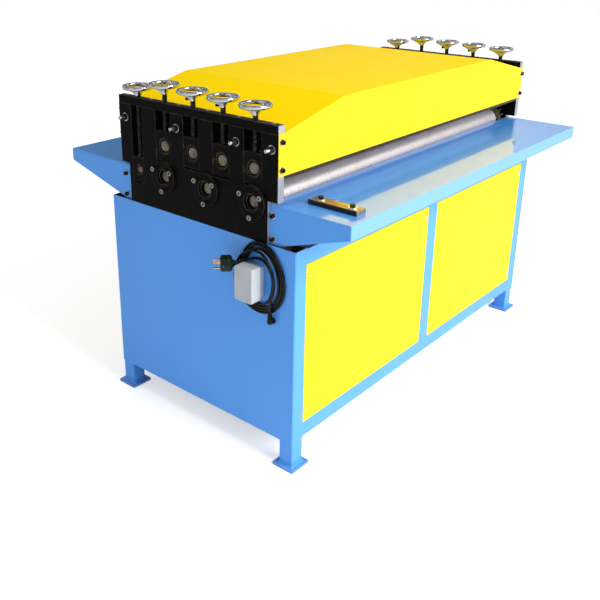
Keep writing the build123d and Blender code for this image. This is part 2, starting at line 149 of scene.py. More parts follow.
class Shader:
    """A material with a Principled surface, built one node at a time."""

    def __init__(self, name: str) -> None:
        """Start an empty material.

        Args:
            name: The material's name.
        """
        self.material = bpy.data.materials.new(name)
        self.material.use_nodes = True
        self.tree = self.material.node_tree
        self.surface = self.tree.nodes["Principled BSDF"]

    def node(self, kind: str, **inputs: object) -> bpy.types.Node:
        """Add a node to the material and fill its inputs."""
        return add_node(self.tree, kind, **inputs)

    def set(self, **inputs: object) -> None:
        """Fill inputs of the Principled surface, with _ for a space."""
        for name, value in inputs.items():
            feed(self.surface.inputs[name.replace("_", " ")], value)

    def place(self) -> Socket:
        """Object coordinates, which are the frame's metres."""
        return self.node("TexCoord").outputs["Object"]

    def noise(self, grain: Grain) -> Socket:
        """A noise over the surface.

        Args:
            grain: The noise's recipe.

        Returns:
            The noise's grey value.
        """
        mapping = self.node("Mapping", Vector=self.place(), Scale=grain.stretch)
        made = self.node("TexNoise", Vector=mapping.outputs["Vector"], Scale=grain.scale, Detail=grain.detail)
        return made.outputs["Fac"]

    def patches(self, grain: Grain, most: float = 1.0) -> Socket:
        """Patches of a noise, from 0 to their most."""
        return self.spread(self.noise(grain), *grain.span, 0.0, most)

    def spread(self, value: object, low: float, high: float, start: float, end: float) -> Socket:
        """Map a value from one span to another, held at its ends.

        Args:
            value: The socket to map.
            low: Lowest input.
            high: Highest input.
            start: Output at the lowest input.
            end: Output at the highest input.

        Returns:
            The mapped value.
        """
        made = self.tree.nodes.new("ShaderNodeMapRange")
        for index, part in enumerate((value, low, high, start, end)):
            feed(made.inputs[index], part)
        return made.outputs["Result"]

    def math(self, step: str, first: object, second: object = 0.0) -> Socket:
        """One sum on two values.

        Args:
            step: The Math node's operation.
            first: A socket or number.
            second: A socket or number.

        Returns:
            The result.
        """
        made = self.tree.nodes.new("ShaderNodeMath")
        made.operation = step
        feed(made.inputs[0], first)
        feed(made.inputs[1], second)
        return made.outputs["Value"]

    def blend(self, share: object, first: object, second: object) -> Socket:
        """Mix two colours.

        Args:
            share: How much of the second shows.
            first: A colour or socket.
            second: A colour or socket.

        Returns:
            The mixed colour.
        """
        made = self.tree.nodes.new("ShaderNodeMix")
        made.data_type = "RGBA"
        feed(made.inputs["Factor"], share)
        feed(made.inputs[6], first)
        feed(made.inputs[7], second)
        return made.outputs[2]

    def bump(self, height: object, strength: float, depth: float, under: object = None) -> Socket:
        """Raise the surface by a height.

        Args:
            height: The grey value that gives the relief.
            strength: Share of the relief that shows.
            depth: Depth of the relief in metres.
            under: A normal that this one is laid over.

        Returns:
            The raised normal.
        """
        made = self.node("Bump", Height=height, Strength=strength, Distance=depth)
        if under is not None:
            feed(made.inputs["Normal"], under)
        return made.outputs["Normal"]

    def axis(self, source: Socket, name: str) -> Socket:
        """One of X, Y and Z of a vector."""
        return self.node("SeparateXYZ", Vector=source).outputs[name]

    def dot(self, first: object, second: object) -> Socket:
        """How far two directions agree.

        Args:
            first: A socket or direction.
            second: A socket or direction.

        Returns:
            Their dot product, from -1 to 1.
        """
        made = self.tree.nodes.new("ShaderNodeVectorMath")
        made.operation = "DOT_PRODUCT"
        feed(made.inputs[0], first)
        feed(made.inputs[1], second)
        return made.outputs["Value"]

    def towards(self, way: Point) -> Socket:
        """How squarely the surface faces one way, from -1 to 1."""
        return self.dot(self.node("NewGeometry").outputs["True Normal"], way)

    def away(self, name: str, middle: float) -> Socket:
        """Distance along an axis from a middle, in metres."""
        return self.math("ABSOLUTE", self.math("SUBTRACT", self.axis(self.place(), name), middle))

    def worn_edge(self, width: float) -> Socket:
        """Where the surface lies close to a sharp edge, from 0 to 1.

        Args:
            width: How far the wear reaches, in metres.

        Returns:
            The mask.
        """
        rounded = self.node("Bevel", Radius=width).outputs["Normal"]
        agree = self.dot(rounded, self.node("NewGeometry").outputs["Normal"])
        return self.spread(agree, 0.80, 0.99, 1.0, 0.0)

    def facing(self, name: str) -> Socket:
        """How squarely the surface faces along an axis, from 0 to 1."""
        normal = self.node("NewGeometry").outputs["Normal"]
        return self.math("ABSOLUTE", self.axis(normal, name))


@dataclass(frozen=True)
class Finish:
    """A surface finish, made into one shared material."""

    name: str
    slot: str

    def material(self) -> bpy.types.Material:
        """The finish's material, made at its first use.

        Returns:
            The material that all its pieces share.
        """
        made = bpy.data.materials.get(self.name)
        if made is None:
            shader = Shader(self.name)
            self.paint(shader)
            made = shader.material
        return made

    def paint(self, shader: Shader) -> None:
        """Build the finish's nodes; each finish has its own."""
        raise NotImplementedError


@dataclass(frozen=True)
class Enamel(Finish):
    """Sprayed gloss enamel on sheet steel: slow tone drift, orange peel and faint smears."""

    colour: Colour = (0.5, 0.5, 0.5)
    shade: Colour = (0.4, 0.4, 0.4)
    coat: float = 0.3
    coat_bend: float = 1.5
    coat_haze: float = 0.04
    shine: float = 0.3
    gloss: tuple[float, float] = (0.30, 0.44)
    drift: Grain = Grain(2.2, 4.0, (0.35, 0.7))
    drift_share: float = 0.45
    smear: Grain = Grain(9.0, 6.0, (0.5, 0.78), (1.0, 1.0, 0.25))
    smear_share: float = 0.14
    peel: Grain = Grain(420.0, 2.0)
    peel_relief: tuple[float, float] = (0.05, 0.0006)
    wave: Grain = Grain(3.5, 1.0)
    ripple: float = 0.10
    ripple_depth: float = 0.02
    inward: Point = (0.0, 0.0, 0.0)
    inward_from: float = 0.3
    primer: Colour = (0.022, 0.021, 0.020)

    def paint(self, shader: Shader) -> None:
        """Tone drift in the colour, smears in the gloss, orange peel and sheet ripple in the relief.

        Args:
            shader: The material in the making.
        """
        drift = shader.patches(self.drift)
        smear = shader.patches(self.smear)
        tone = shader.blend(shader.math("MULTIPLY", drift, self.drift_share), self.colour, self.shade)
        tone = shader.blend(shader.math("MULTIPLY", smear, self.smear_share), tone, self.shade)
        peel = shader.bump(shader.noise(self.peel), *self.peel_relief)
        sheet = shader.bump(shader.noise(self.wave), self.ripple, self.ripple_depth, peel)
        rough = shader.spread(smear, 0.0, 1.0, *self.gloss)
        if any(self.inward):
            tone = shader.blend(self.unpainted(shader), tone, self.primer)
        shader.set(Base_Color=tone, Roughness=rough, Normal=sheet, Specular_IOR_Level=self.shine)
        shader.set(Coat_Weight=self.coat, Coat_Roughness=self.coat_haze, Coat_IOR=self.coat_bend)
        shader.set(Coat_Normal=sheet)

    def unpainted(self, shader: Shader) -> Socket:
        """Where only primer shows: on faces that look inward."""
        return shader.math("GREATER_THAN", shader.towards(self.inward), self.inward_from)


@dataclass(frozen=True)
class SatinEnamel(Enamel):
    """Enamel with no clear coat and a faint shine."""

    coat: float = 0.0
    shine: float = 0.05
    ripple: float = 0.06


@dataclass(frozen=True)
class TubeEnamel(Enamel):
    """Enamel on open tube: the ends and the bore of each leg stay brown."""

    middle: tuple[float, float] = (0.0125, -0.0250)
    leg_place: tuple[float, float] = (0.723, 0.361)
    bore_half: float = 0.0235

    def unpainted(self, shader: Shader) -> Socket:
        """Where only primer shows.

        Args:
            shader: The material in the making.

        Returns:
            Faces that look inward, and all that lies inside a leg's outer walls.
        """
        inside = super().unpainted(shader)
        bore: object = 1.0
        for name, centre, leg in zip("XY", self.middle, self.leg_place):
            near = shader.math("ABSOLUTE", shader.math("SUBTRACT", shader.away(name, centre), leg))
            bore = shader.math("MULTIPLY", bore, shader.math("LESS_THAN", near, self.bore_half))
        return shader.math("MAXIMUM", inside, bore)


@dataclass(frozen=True)
class Blacking(Finish):
    """Satin black on milled plate, bare on the plates' own front and rear edges, with sharp edges rubbed and
    lightened as a painted highlight, and faces that look up lightened as a painted highlight.
    """

    colour: Colour = (0.0030, 0.0028, 0.0027)
    rubbed: Colour = (0.0095, 0.0080, 0.0065)
    bare: Colour = (0.56, 0.55, 0.60)
    milled: Colour = (0.36, 0.35, 0.40)
    # Rubbed wear on sharp edges, made light enough to be a painted highlight where the edges catch light.
    worn: Colour = (0.210, 0.185, 0.165)
    # Painted highlight: a lighter colour for faces that look up, standing in for the light that falls on
    # them.
    ledge: Colour = (0.042, 0.036, 0.034)
    wear: float = 0.0022
    edge_middle: float = -0.022
    edge_reach: float = 0.283
    square: float = 0.85
    rub: Grain = Grain(26.0, 6.0, (0.54, 0.80))
    rub_share: float = 0.55
    wear_from_rub: tuple[float, ...] = (0.0, 0.3, 0.35, 1.0)
    streak: Grain = Grain(38.0, 4.0, (0.3, 0.7), (1.0, 1.0, 9.0))
    streak_share: float = 0.5
    # How strongly the painted highlight on faces that look up shows.
    ledge_share: float = 0.8
    gloss: tuple[float, float] = (0.46, 0.34)
    edge_haze: float = 0.02
    edge_metal: float = 0.75
    shine: float = 0.05
    tooling: Grain = Grain(240.0, 2.0, stretch=(1.0, 1.0, 0.3))
    tooling_relief: tuple[float, float] = (0.08, 0.0008)

    def paint(self, shader: Shader) -> None:
        """Rubbed patches over the black, mill marks on the bare edges, rubbed wear lightened into a painted
        highlight on sharp edges, and a painted highlight on faces that look up.

        Args:
            shader: The material in the making.
        """
        rub = shader.patches(self.rub, self.rub_share)
        # Sharp edges where rubbed: real wear, lightened as a painted highlight.
        worn = shader.math("MULTIPLY", shader.worn_edge(self.wear), shader.spread(rub, *self.wear_from_rub))
        # Painted highlight: faces that look up are lightened.
        level = shader.math("GREATER_THAN", shader.towards(UP), self.square)
        ledge = shader.math("MULTIPLY", level, self.ledge_share)
        black = shader.blend(ledge, shader.blend(rub, self.colour, self.rubbed), self.ledge)
        black = shader.blend(worn, black, self.worn)
        metal = shader.blend(shader.patches(self.streak, self.streak_share), self.bare, self.milled)
        outer = shader.math("GREATER_THAN", shader.away("Y", self.edge_middle), self.edge_reach)
        edge = shader.math("MULTIPLY", outer, shader.math("GREATER_THAN", shader.facing("Y"), self.square))
        sheen = shader.spread(rub, 0.0, self.rub_share, *self.gloss)
        rough = shader.math("ADD", sheen, shader.math("MULTIPLY", edge, self.edge_haze))
        shader.set(Base_Color=shader.blend(edge, black, metal), Roughness=rough)
        shader.set(Metallic=shader.math("MULTIPLY", edge, self.edge_metal), Specular_IOR_Level=self.shine)
        shader.set(Normal=shader.bump(shader.noise(self.tooling), *self.tooling_relief))


@dataclass(frozen=True)
class TurnedSteel(Finish):
    """Ground roller steel: fine rings round the axis, dull handling marks, oily brown shaft ends."""

    colour: Colour = (0.610, 0.565, 0.570)
    dull: Colour = (0.385, 0.310, 0.290)
    scuff: Colour = (0.80, 0.77, 0.77)
    speck: Colour = (0.235, 0.185, 0.165)
    oil: Colour = (0.15, 0.12, 0.075)
    middle: float = 0.0125
    shaft_reach: float = 0.719
    metal: float = 0.7
    brushing: float = 0.35
    rings: Grain = Grain(6.0, 5.0, (0.35, 0.65), (45.0, 0.6, 0.6))
    ring_share: float = 0.45
    gloss_from_rings: tuple[float, ...] = (0.3, 0.7, 0.40, 0.50)
    ring_relief: tuple[float, float] = (0.14, 0.0006)
    marks: Grain = Grain(17.0, 6.0, (0.42, 0.72), (0.5, 1.0, 1.0))
    mark_share: float = 0.75
    mark_haze: float = 0.12
    specks: Grain = Grain(150.0, 8.0, (0.54, 0.74))
    speck_share: float = 0.60
    speck_relief: tuple[float, float] = (0.20, 0.0006)

    def paint(self, shader: Shader) -> None:
        """Rings from a noise squeezed along the axis, blotches over them, oil on the shaft ends.

        Args:
            shader: The material in the making.
        """
        rings = shader.noise(self.rings)
        marks = shader.patches(self.marks, self.mark_share)
        specks = shader.patches(self.specks, self.speck_share)
        tone = shader.blend(marks, self.colour, self.dull)
        tone = shader.blend(shader.spread(rings, *self.rings.span, 0.0, self.ring_share), tone, self.scuff)
        tone = shader.blend(specks, tone, self.speck)
        shaft = shader.math("GREATER_THAN", shader.away("X", self.middle), self.shaft_reach)
        sheen = shader.spread(rings, *self.gloss_from_rings)
        rough = shader.math("ADD", sheen, shader.math("MULTIPLY", marks, self.mark_haze))
        pits = shader.bump(specks, *self.speck_relief)
        shader.set(Base_Color=shader.blend(shaft, tone, self.oil), Metallic=self.metal, Roughness=rough)
        shader.set(Normal=shader.bump(rings, *self.ring_relief, pits), Anisotropic=self.brushing)


@dataclass(frozen=True)
class Mottled(Finish):
    """A surface with patches of a second tone and gloss; with no grain, its relief follows the patches."""

    colour: Colour
    patch: Colour
    gloss: float
    haze: float
    blotches: Grain
    patch_share: float = 1.0
    metal: float = 1.0
    shine: float = 0.5
    grain: Grain | None = None
    relief: float = 0.1
    relief_depth: float = 0.0004

    def paint(self, shader: Shader) -> None:
        """Patches in the colour and the gloss, grain in the relief.

        Args:
            shader: The material in the making.
        """
        patches = shader.patches(self.blotches, self.patch_share)
        rough = shader.spread(patches, 0.0, self.patch_share, self.gloss, self.haze)
        height = shader.noise(self.grain) if self.grain else patches
        shader.set(Base_Color=shader.blend(patches, self.colour, self.patch), Metallic=self.metal)
        shader.set(Roughness=rough, Specular_IOR_Level=self.shine)
        shader.set(Normal=shader.bump(height, self.relief, self.relief_depth))


@dataclass(frozen=True)
class Plating(Mottled):
    """Bright plating, from mirror chrome to dull zinc, with cloudy patches."""

    blotches: Grain = Grain(60.0, 5.0, (0.42, 0.75))
    grain: Grain | None = Grain(300.0, 2.0)
    relief: float = 0.03


@dataclass(frozen=True)
class Moulding(Mottled):
    """Moulded plastic or rubber with a fine grain and a little dust."""

    blotches: Grain = Grain(30.0, 5.0, (0.45, 0.8))
    patch_share: float = 0.5
    metal: float = 0.0
    shine: float = 0.4
    grain: Grain | None = Grain(900.0, 2.0)


@dataclass(frozen=True)
class GuideSteel(Finish):
    """A guide bar: black long sides, a top and ends rubbed bright, tinted gold and brown as a painted
    reflection of the yellow hood.
    """

    black: Colour = (0.008, 0.008, 0.008)
    # Painted reflection: the warm gold and brown of the top and ends stand for the yellow hood mirrored in
    # the polished steel.
    bright: Colour = (0.62, 0.50, 0.36)
    brown: Colour = (0.40, 0.26, 0.13)
    rub: Grain = Grain(14.0, 5.0, (0.35, 0.65), (6.0, 1.0, 1.0))
    side_from: float = 0.6
    metal: tuple[float, float] = (0.85, 0.2)
    gloss: tuple[float, float] = (0.24, 0.40)
    relief: tuple[float, float] = (0.06, 0.0005)

    def paint(self, shader: Shader) -> None:
        """Long rub marks on the bright faces, tinted gold and brown as a painted reflection of the yellow
        hood, black where the bar faces along the rollers.

        Args:
            shader: The material in the making.
        """
        rub = shader.patches(self.rub)
        side = shader.math("GREATER_THAN", shader.facing("X"), self.side_from)
        # The bright and brown mix is a painted reflection of the yellow hood over the rub marks.
        shader.set(Base_Color=shader.blend(side, shader.blend(rub, self.bright, self.brown), self.black))
        shader.set(Metallic=shader.spread(side, 0.0, 1.0, *self.metal))
        shader.set(Roughness=shader.spread(rub, 0.0, 1.0, *self.gloss))
        shader.set(Normal=shader.bump(rub, *self.relief))


BLUE_TONES = ((0.085, 0.365, 0.960), (0.070, 0.325, 0.900))
YELLOW_TONES = ((0.980, 0.700, 0.020), (0.960, 0.640, 0.014))
ROOF_TONES = ((0.980, 0.690, 0.003), (0.970, 0.650, 0.002))
RAIL_PRIMER = (0.075, 0.042, 0.030)
BLUE = Enamel("blue_enamel", "blue_paint", *BLUE_TONES)
FOOT_BLUE = Enamel("foot_enamel", "blue_paint", (0.115, 0.345, 0.800), (0.230, 0.270, 0.400), coat=0.2)
RAIL_BLUE = TubeEnamel("rail_enamel", "blue_paint", *BLUE_TONES, inward=UP, primer=RAIL_PRIMER)
TABLE_BLUE = Enamel("table_enamel", "blue_paint", *BLUE_TONES, coat=1.0, coat_bend=1.9, ripple=0.03)
YELLOW = SatinEnamel("yellow_enamel", "yellow_paint", *YELLOW_TONES)
ROOF_YELLOW = SatinEnamel("roof_enamel", "yellow_paint", *ROOF_TONES, shine=0.003, inward=(0.0, 0.0, -1.0))
FEED_YELLOW = SatinEnamel("feed_hood_enamel", "yellow_paint", *YELLOW_TONES, inward=(0.0, 1.0, 0.0))
EXIT_YELLOW = SatinEnamel("exit_hood_enamel", "yellow_paint", *YELLOW_TONES, inward=(0.0, -1.0, 0.0))
# Painted shade: the hems are yellow sheet in shade under the hood, coloured dark brown.
HEM_PAINTED_SHADE = SatinEnamel("hem_primer", "yellow_paint", (0.060, 0.040, 0.028), (0.040, 0.028, 0.020))
BLACK = Blacking("blacked_plate", "black_plate")
# Flange rims: a wider and lighter rubbed edge, mostly a painted highlight where the rims catch light.
FLANGE_BLACK = Blacking("blacked_flange", "black_plate", worn=(0.34, 0.31, 0.29), wear=0.0034)
STEEL = TurnedSteel("ground_steel", "bare_steel")
IRON = Mottled("greased_iron", "gear_steel", (0.200, 0.160, 0.110), (0.035, 0.026, 0.016), 0.46, 0.20,
               Grain(85.0, 5.0, (0.40, 0.65)), metal=0.55, grain=Grain(150.0, 4.0), relief=0.25,
               relief_depth=0.001)
OILED = Mottled("oiled_black", "stud_steel", (0.016, 0.015, 0.015), (0.12, 0.11, 0.11), 0.36, 0.24,
                Grain(140.0, 4.0, (0.52, 0.72)), patch_share=0.8, metal=0.75)
CHROME = Plating("bright_chrome", "wheel_chrome", (0.60, 0.60, 0.62), (0.44, 0.44, 0.47), 0.07, 0.16)
ZINC = Plating("dull_zinc", "stud_steel", (0.62, 0.61, 0.62), (0.42, 0.41, 0.42), 0.22, 0.38)
WASHER = Plating("bright_washer", "stud_steel", (0.86, 0.85, 0.86), (0.70, 0.69, 0.70), 0.26, 0.40)
SCREW_STEEL = Plating("screw_steel", "stud_steel", (0.36, 0.35, 0.345), (0.20, 0.19, 0.185), 0.24, 0.40)
END_STEEL = Plating("oily_shaft_end", "bare_steel", (0.26, 0.225, 0.165), (0.13, 0.105, 0.070), 0.30, 0.48)
RING_STEEL = Plating("bearing_ring", "bare_steel", (0.060, 0.055, 0.050), (0.030, 0.027, 0.024), 0.28, 0.45)
BRASS = Plating("pin_copper", "pin_brass", (0.78, 0.42, 0.20), (0.55, 0.27, 0.12), 0.20, 0.36)
GUIDE = GuideSteel("guide_steel", "stud_steel")
BOX_GREY = Moulding("box_grey", "box_plastic", (0.52, 0.56, 0.60), (0.45, 0.48, 0.51), 0.34, 0.48,
                    grain=Grain(700.0, 2.0), relief=0.06)
RUBBER = Moulding("lead_rubber", "cord_rubber", (0.0015, 0.0015, 0.002), (0.004, 0.004, 0.004), 0.10, 0.24,
                  grain=Grain(1200.0, 2.0), relief=0.015, shine=0.26)
PLUG_GREEN = Moulding("plug_green", "plug_plastic", (0.004, 0.013, 0.008), (0.010, 0.020, 0.014), 0.28, 0.42,
                      relief=0.08, shine=0.25)


def turn_to(axis: Vector) -> Matrix:
    """The turn that takes +Z to an axis."""
    return axis.normalized().to_track_quat("Z", "Y").to_matrix().to_4x4()


def show(name: str, data: bpy.types.ID) -> bpy.types.Object:
    """Put a mesh, a curve, a camera or a lamp into the scene.

    Args:
        name: The object's name.
        data: What the object holds.

    Returns:
        The new object.
    """
    made = bpy.data.objects.new(name, data)
    bpy.context.scene.collection.objects.link(made)
    return made


class Shape:
    """A mesh in the making, in millimetres of the drawing."""

    def __init__(self) -> None:
        """Start with no faces."""
        self.mesh = bmesh.new()

    def join(self, other: "Shape", place: Point, axis: Point = UP, spin: float = 0.0) -> None:
        """Add a copy of another shape.

        Args:
            other: The shape, drawn about its own origin with +Z outwards.
            place: Where its origin goes.
            axis: Where its +Z points.
            spin: Turn about its own +Z, in degrees.
        """
        copy = bpy.data.meshes.new("copy")
        other.mesh.to_mesh(copy)
        matrix = Matrix.Translation(Vector(place)) @ turn_to(Vector(axis))
        copy.transform(matrix @ Matrix.Rotation(math.radians(spin), 4, "Z"))
        self.mesh.from_mesh(copy)
        bpy.data.meshes.remove(copy)

    def turned(self, profile: Profile, steps: int = 28, closed: bool = False) -> None:
        """Spin a profile about +Z.

        Args:
            profile: Radius and height of each corner.
            steps: Sides of the round.
            closed: Whether the profile is a ring that ends where it starts.
        """
        corners = [self.mesh.verts.new((radius, 0.0, height)) for radius, height in profile]
        pairs = list(zip(corners, corners[1:]))
        if closed:
            pairs.append((corners[-1], corners[0]))
        edges = [self.mesh.edges.new(pair) for pair in pairs]
        bmesh.ops.spin(self.mesh, geom=corners + edges, cent=(0, 0, 0), axis=UP, angle=math.tau,
                       steps=steps, use_merge=True)
        bmesh.ops.remove_doubles(self.mesh, verts=self.mesh.verts, dist=0.001)

    def prism(self, sides: int, across: float, low: float, high: float, edge: float) -> None:
        """Add a hexagon or other regular bar along +Z, chamfered at its top.

        Args:
            sides: Number of flats.
            across: Width across the flats.
            low: Height of its foot.
            high: Height of its top.
            edge: Chamfer at the top.
        """
        radius = across / 2 / math.cos(math.pi / sides)
        lift = Matrix.Translation((0, 0, (low + high) / 2))
        made = bmesh.ops.create_cone(self.mesh, cap_ends=True, segments=sides, radius1=radius,
                                     radius2=radius, depth=high - low, matrix=lift)
        rim = dict.fromkeys(side for vert in made["verts"] for side in vert.link_edges
                            if all(end.co.z > high - edge / 2 for end in side.verts))
        self.soften(rim, edge)

    def block(self, place: Point, size: Point) -> None:
        """Add a box by its middle and its size."""
        matrix = Matrix.Translation(place) @ Matrix.Diagonal((*size, 1.0))
        bmesh.ops.create_cube(self.mesh, size=1.0, matrix=matrix)

    def soften(self, edges: Iterable[bmesh.types.BMEdge], width: float, segments: int = 2) -> None:
        """Round edges off.

        Args:
            edges: The edges.
            width: How far the rounding reaches.
            segments: Faces across it.
        """
        bmesh.ops.bevel(self.mesh, geom=list(edges), offset=width, affect="EDGES", segments=segments,
                        profile=0.5, material=-1)

    def piece(self, name: str, finish: Finish, body: str, smooth: float = 35.0) -> bpy.types.Object:
        """Make the shape a piece of the machine.

        Args:
            name: The piece's name.
            finish: Its finish.
            body: The body it moves with.
            smooth: Edges sharper than this many degrees stay crisp.

        Returns:
            The finished object.
        """
        bmesh.ops.recalc_face_normals(self.mesh, faces=self.mesh.faces)
        bmesh.ops.translate(self.mesh, verts=self.mesh.verts, vec=DRAWING_SHIFT)
        bmesh.ops.scale(self.mesh, verts=self.mesh.verts, vec=(MM, MM, MM))
        mesh = bpy.data.meshes.new(name)
        self.mesh.to_mesh(mesh)
        self.mesh.free()
        mesh.shade_smooth()
        mesh.set_sharp_from_angle(angle=math.radians(smooth))
        mesh.materials.append(finish.material())
        made = show(name, mesh)
        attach(made, body)
        LOG.info("%s: %d faces on %s", name, len(mesh.polygons), body)
        return made


def lathe(profile: Profile, steps: int = 28, closed: bool = False) -> Shape:
    """A shape turned from one profile.

    Args:
        profile: Radius and height of each corner.
        steps: Sides of the round.
        closed: Whether the profile is a ring that ends where it starts.

    Returns:
        The shape about its own origin.
    """
    made = Shape()
    made.turned(profile, steps, closed)
    return made


def scatter(name: str, finish: Finish, body: str, part: Shape, seats: Iterable[Seat]) -> None:
    """Make one piece from copies of a part.

    Args:
        name: The piece's name.
        finish: Its finish.
        body: The body it moves with.
        part: The part, drawn with its seat at the origin.
        seats: Place and axis of each copy.
    """
    made = Shape()
    for place, axis in seats:
        made.join(part, place, axis)
    made.piece(name, finish, body)


def hexagon(across: float, low: float, high: float, edge: float) -> Shape:
    """A six-sided head or nut.

    Args:
        across: Width across the flats.
        low: Height of its foot.
        high: Height of its top.
        edge: Chamfer at the top.

    Returns:
        The shape about its own origin.
    """
    made = Shape()
    made.prism(6, across, low, high, edge)
    return made


@dataclass(frozen=True)
class CapScrew:
    """A socket-head screw, drawn with its seat at the origin."""

    head: float
    height: float
    socket_share: float = 0.52
    bevel: float = 0.9

    def shape(self) -> Shape:
        """The head with its socket.

        Returns:
            The head, with its seat at the origin.
        """
        radius = self.head / 2
        top = self.height
        socket = radius * self.socket_share
        return lathe([(0.0, top * 0.45), (socket, top * 0.5), (socket, top - 0.4), (socket + 0.5, top),
                      (radius - self.bevel, top), (radius, top - self.bevel), (radius, 0.0), (0.0, 0.0)], 20)


@dataclass(frozen=True)
class HexBolt:
    """A hexagon head on a washer, drawn with its seat at the origin."""

    across: float = 14.0
    height: float = 7.0
    washer: float = 28.0
    washer_height: float = 2.6

    def head(self) -> Shape:
        """The six-sided head."""
        return hexagon(self.across, self.washer_height, self.washer_height + self.height, 1.2)

    def ring(self) -> Shape:
        """The washer.

        Returns:
            The ring, with its seat at the origin.
        """
        outer = self.washer / 2
        top = self.washer_height
        return lathe([(0.0, top), (outer - 0.5, top), (outer, top - 0.5), (outer, 0.0), (0.0, 0.0)])


@dataclass(frozen=True)
class PanScrew:
    """A low rounded screw with a cross recess, drawn with its seat at the origin."""

    head: float = 8.0
    height: float = 2.4

    def shape(self) -> Shape:
        """The rounded head.

        Returns:
            The head, with its seat at the origin.
        """
        radius = self.head / 2
        top = self.height
        return lathe([(0.0, top - 0.7), (radius * 0.25, top), (radius * 0.6, top * 0.9),
                      (radius * 0.9, top * 0.5), (radius, 0.0), (0.0, 0.0)], 16)


@dataclass
class SidePlates:
    """Places on the slotted plates: bearings, slots and the bars over them."""

    flange_face: float = 758.0
    flange_circle: float = 43.0
    flange_bolt_angles: tuple[float, ...] = (30.0, 150.0, 270.0)
    bar_top: float = 1046.0
    bar_screw_places: tuple[float, ...] = (-296.0, -170.0, -50.0, 70.0, 190.0, 300.0)
    stud_places: tuple[float, ...] = (-299.5, -170.0, 70.0, 298.5)
    stud_height: float = 979.0
    stud_length: float = 27.0
    stud_diameter: float = 12.0
    washer_rim: float = 3.5
    nut_across: float = 19.0
    nut_turn: float = 17.0
    nut_seat: float = 3.0
    nut_height: float = 10.0

    def flange_bolts(self) -> None:
        """Three screws in each bearing flange."""
        seats: list[Seat] = []
        for side in Side:
            for place in LOWER_PLACES:
                for angle in map(math.radians, self.flange_bolt_angles):
                    across = place + self.flange_circle * math.cos(angle)
                    up = LOWER_HEIGHT + self.flange_circle * math.sin(angle)
                    seats.append(((side.value * self.flange_face, across, up), (side.value, 0, 0)))
        scatter("flange_screws", SCREW_STEEL, BASE, CapScrew(16.0, 9.0).shape(), seats)

    def bar_screws(self) -> None:
        """Screws that hold the top bars down."""
        scatter("bar_screws", ZINC, BASE, CapScrew(10.0, 3.0).shape(),
                [((side.value * PLATE_MIDDLE, place, self.bar_top), UP)
                 for side in Side for place in self.bar_screw_places])

    def lock_studs(self) -> None:
        """Studs with washers and nuts beside the slots."""
        radius = self.stud_diameter / 2
        length = self.stud_length
        stud = lathe([(0.0, length), (radius - 2.5, length), (radius - 0.8, length - 0.8),
                      (radius, length - 2.5), (radius, 0.0), (0.0, 0.0)], 24)
        nut = hexagon(self.nut_across, self.nut_seat, self.nut_seat + self.nut_height, 1.6)
        washer = self.nut_across / 2 + self.washer_rim
        stud.turned([(0.0, self.nut_seat), (washer - 0.5, self.nut_seat), (washer, self.nut_seat - 0.5),
                     (washer, 0.0), (0.0, 0.0)], 32)
        studs = Shape()
        nuts = Shape()
        for side in Side:
            for index, place in enumerate(self.stud_places):
                seat = (side.value * PLATE_FACE, place, self.stud_height)
                studs.join(stud, seat, (side.value, 0, 0))
                nuts.join(nut, seat, (side.value, 0, 0), self.nut_turn * index)
        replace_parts(studs.piece("lock_studs_dressed", ZINC, BASE, 30.0), "lock_studs")
        nuts.piece("lock_nuts", OILED, BASE, 25.0)

    def build(self) -> None:
        """Make all the plates' fasteners."""
        self.flange_bolts()
        self.bar_screws()
        self.lock_studs()


